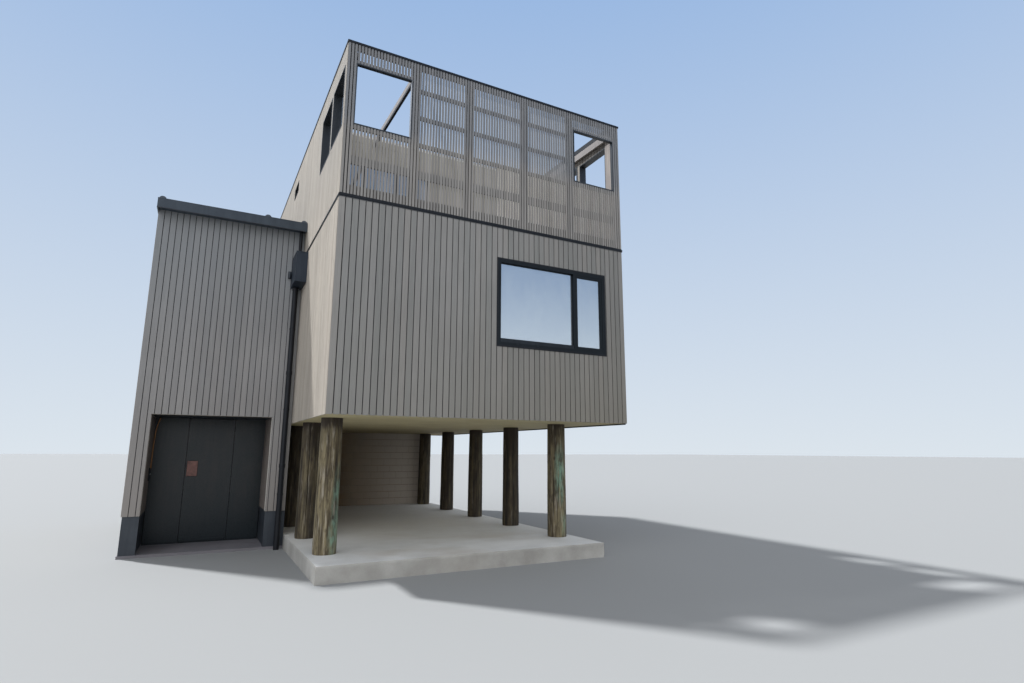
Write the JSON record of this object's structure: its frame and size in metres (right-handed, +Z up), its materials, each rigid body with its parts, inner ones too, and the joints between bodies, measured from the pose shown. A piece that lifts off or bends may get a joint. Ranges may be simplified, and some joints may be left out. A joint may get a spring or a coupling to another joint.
{
  "type": "beach house on round poles",
  "caption": "Timber-clad box house on round poles over a carport, with a roof deck behind a batten screen and a taller entry wing with a recessed hinged door.",
  "frame": {"origin": "middle of the bounding box at ground level, under the house", "axes": "+X right along the front seen from outside, +Y from the front into the house, +Z up"},
  "size_m": [8.697, 10.265, 9.3429],
  "materials": {
    "concrete": "plain grey concrete with a trowelled top and rough cast edges",
    "block": "dark stacked blockwork with level joints",
    "pole_wood": "weathered round poles, cracked along the grain, with green stains",
    "cladding": "vertical grey-brown weathered boards with narrow dark grooves",
    "soffit": "cream-khaki painted sheet lining",
    "floor_frame": "framed timber floor with a board deck",
    "battens": "rough-sawn weathered grey-brown battens",
    "sheet": "cream opal plastic sheet",
    "slate_metal": "folded sheet metal, slate blue, satin",
    "window_frame": "near-black powder-coated window bars",
    "glass": "clear window glass",
    "plaster": "tan smooth render",
    "plinth": "dark blue-grey sheet plinth",
    "reveal": "dark stained board lining",
    "door": "dark slate-green satin door leaf",
    "plate": "copper-brown hand plate"
  },
  "bodies": {
    "house": {"carport_slab": "concrete", "entry_slab": "concrete", "block_wall": "block", "poles": "pole_wood", "soffit_lining": "soffit", "main_floor": "floor_frame", "front_wall": "cladding", "left_wall": "cladding", "right_wall": "cladding", "back_wall": "cladding", "window_frames": "window_frame", "window_sashes": "window_frame", "window_glass": "glass", "joint_flashing": "slate_metal", "upper_floor": "floor_frame", "upper_left_wall": "cladding", "upper_right_wall": "cladding", "upper_back_wall": "cladding", "screen_beams": "battens", "screen_posts": "battens", "screen_left_bay": "battens", "screen_middle_bays": "battens", "screen_right_bay": "battens", "post_battens": "battens", "screen_sheet": "sheet", "opening_linings": "slate_metal", "deck_beams": "battens", "room_front_wall": "plaster", "sliding_doors": "window_frame", "upper_roof": "slate_metal", "parapet_capping": "slate_metal", "entry_plinth": "plinth", "entry_piers": "cladding", "entry_over_door": "cladding", "entry_left_wall": "cladding", "entry_back_wall": "cladding", "entry_side_wall": "cladding", "recess_walls": "cladding", "recess_ceiling": "reveal", "door_side_panels": "door", "entry_roof": "slate_metal", "entry_fascia": "slate_metal", "rain_head": "slate_metal", "downpipe": "slate_metal"},
    "entry_door": {"entry_door": "door", "door_plate": "plate"}
  },
  "joints": [
    {"name": "entry_door_hinge", "type": "hinge", "parent": "house", "child": "entry_door", "pos_m": [-2.5175, 0.0325, 1.3285], "axis": [0, 0, -1], "range_deg": [0, 90]}
  ]
}
